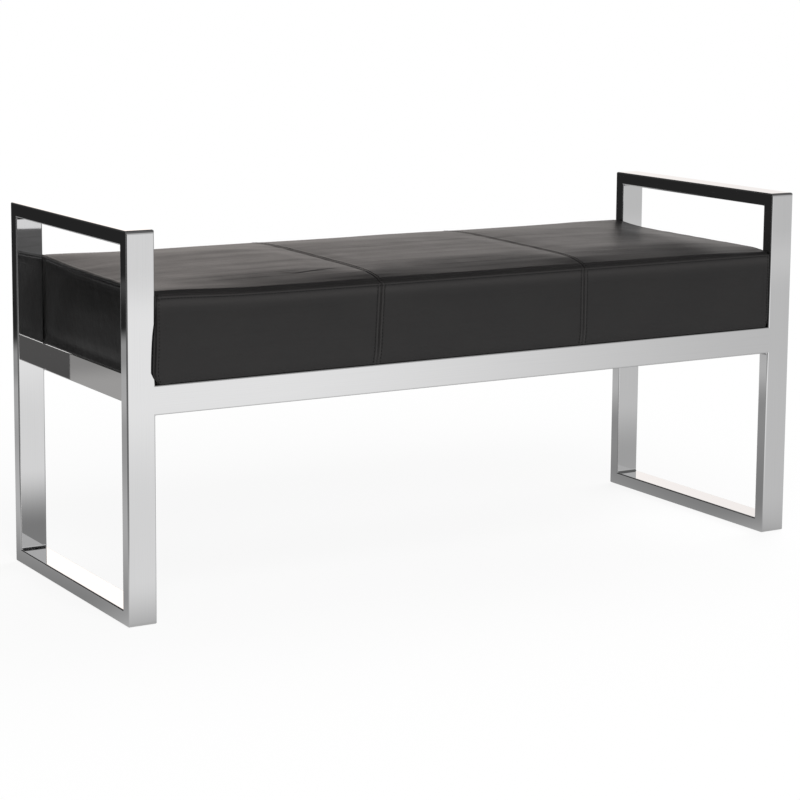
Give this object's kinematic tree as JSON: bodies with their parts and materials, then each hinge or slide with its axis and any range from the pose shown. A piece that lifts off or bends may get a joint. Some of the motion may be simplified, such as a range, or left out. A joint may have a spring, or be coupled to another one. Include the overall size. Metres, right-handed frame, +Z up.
{
  "type": "upholstered bench",
  "caption": "Backless upholstered bench: box cushion in black leather with sewn cross seams on a polished flat-tube frame whose closed end loops form legs and low arm rails.",
  "frame": {"origin": "on the floor under the middle of the bench", "axes": "+X along the bench towards its right end as seen from the front, +Y from front to back, +Z up"},
  "size_m": [1.1, 0.4, 0.525],
  "materials": {
    "polished_steel": "mirror polished, welds ground flush",
    "black_leather": "fine grain, soft sheen",
    "plain_steel": "plain zinc grey",
    "plywood": "raw birch plywood",
    "foam": "open-cell foam",
    "wadding": "bonded fibre wadding",
    "dust_cloth": "black non-woven cloth",
    "nylon": "matt nylon"
  },
  "bodies": {
    "root": {"left_front_leg": "polished_steel", "left_rear_leg": "polished_steel", "left_arm_rail": "polished_steel", "left_foot_rail": "polished_steel", "right_front_leg": "polished_steel", "right_rear_leg": "polished_steel", "right_arm_rail": "polished_steel", "right_foot_rail": "polished_steel", "front_seat_rail": "polished_steel", "rear_seat_rail": "polished_steel", "left_end_rail": "polished_steel", "right_end_rail": "polished_steel", "loop_corner_welds": "polished_steel", "rail_to_leg_welds": "polished_steel", "front_boxing_left": "black_leather", "front_boxing_centre": "black_leather", "front_boxing_right": "black_leather", "rear_boxing_left": "black_leather", "rear_boxing_centre": "black_leather", "rear_boxing_right": "black_leather", "left_end_boxing": "black_leather", "right_end_boxing": "black_leather", "top_panel_left": "black_leather", "top_panel_centre": "black_leather", "top_panel_right": "black_leather", "rail_corner_welds": "plain_steel", "seat_corner_plates": "plain_steel", "seat_screws": "plain_steel", "board_nuts": "plain_steel", "seat_board": "plywood", "foam_core": "foam", "wadding_layer": "wadding", "dust_cover": "dust_cloth", "foot_glides": "nylon"}
  },
  "joints": []
}
